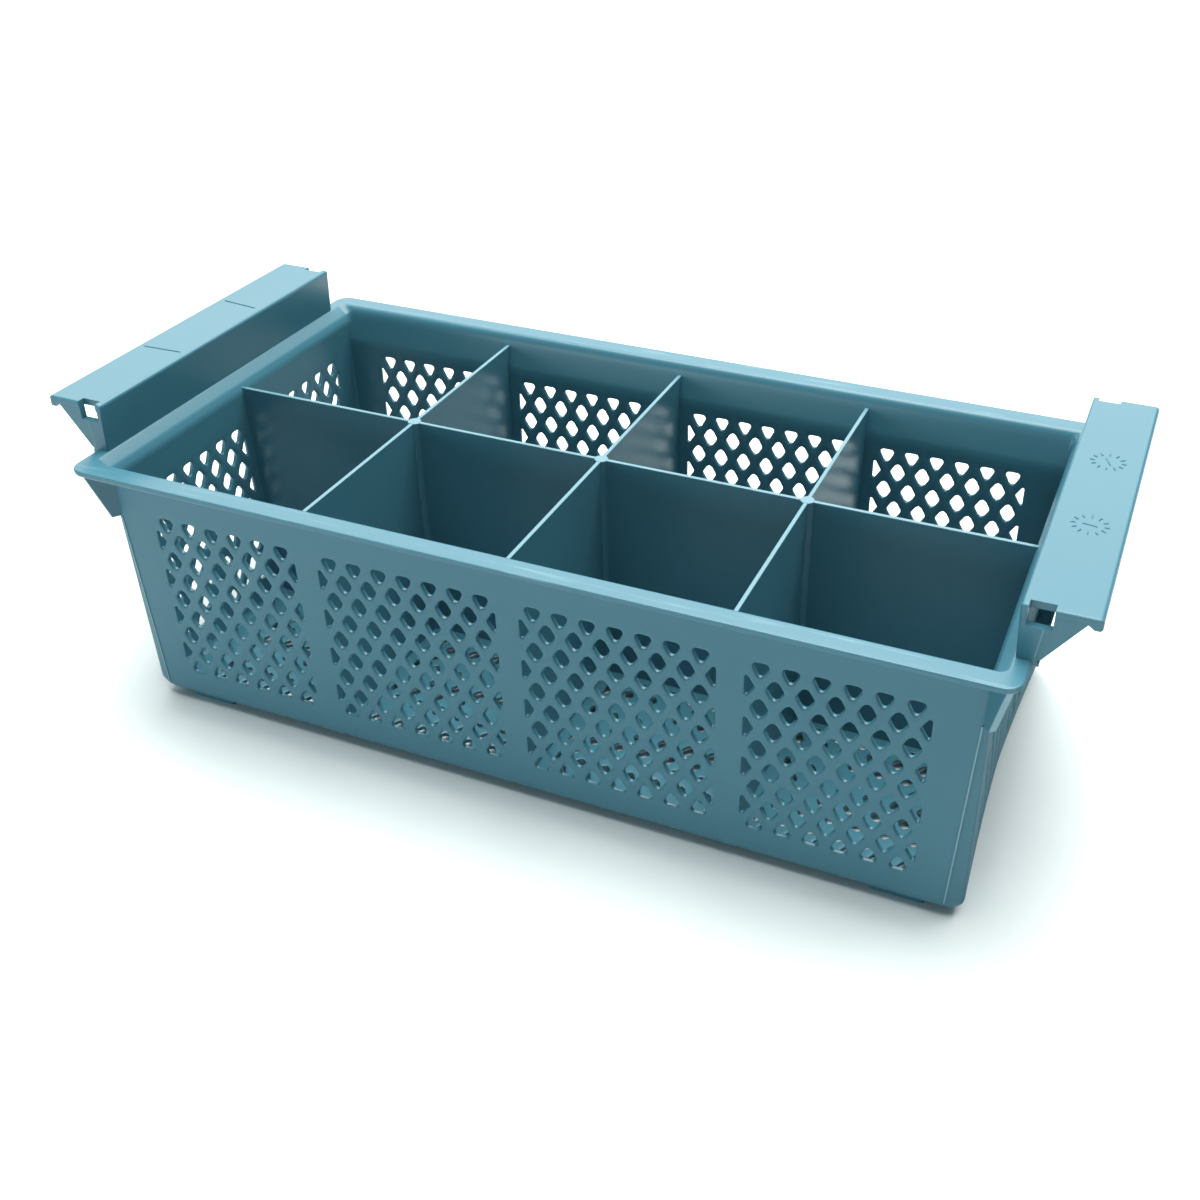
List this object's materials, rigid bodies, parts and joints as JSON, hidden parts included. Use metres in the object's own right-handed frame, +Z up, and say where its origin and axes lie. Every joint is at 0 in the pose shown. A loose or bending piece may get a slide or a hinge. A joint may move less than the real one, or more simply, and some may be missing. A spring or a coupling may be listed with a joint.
{
  "type": "dishwasher cutlery basket",
  "caption": "Open-topped cutlery basket moulded in plastic, with diamond mesh walls and base, crossed dividers, a wide rim and raised handle plates at the ends.",
  "frame": {"origin": "under the middle of the basket, on the surface that its feet stand on", "axes": "X along the long side from handle to handle, Y across the depth, Z up"},
  "size_m": [0.425, 0.2012, 0.142],
  "materials": {
    "moulding": "blue-grey polypropylene, satin, with fine moulding marks"
  },
  "bodies": {
    "root": {"basket": "moulding"}
  },
  "joints": []
}
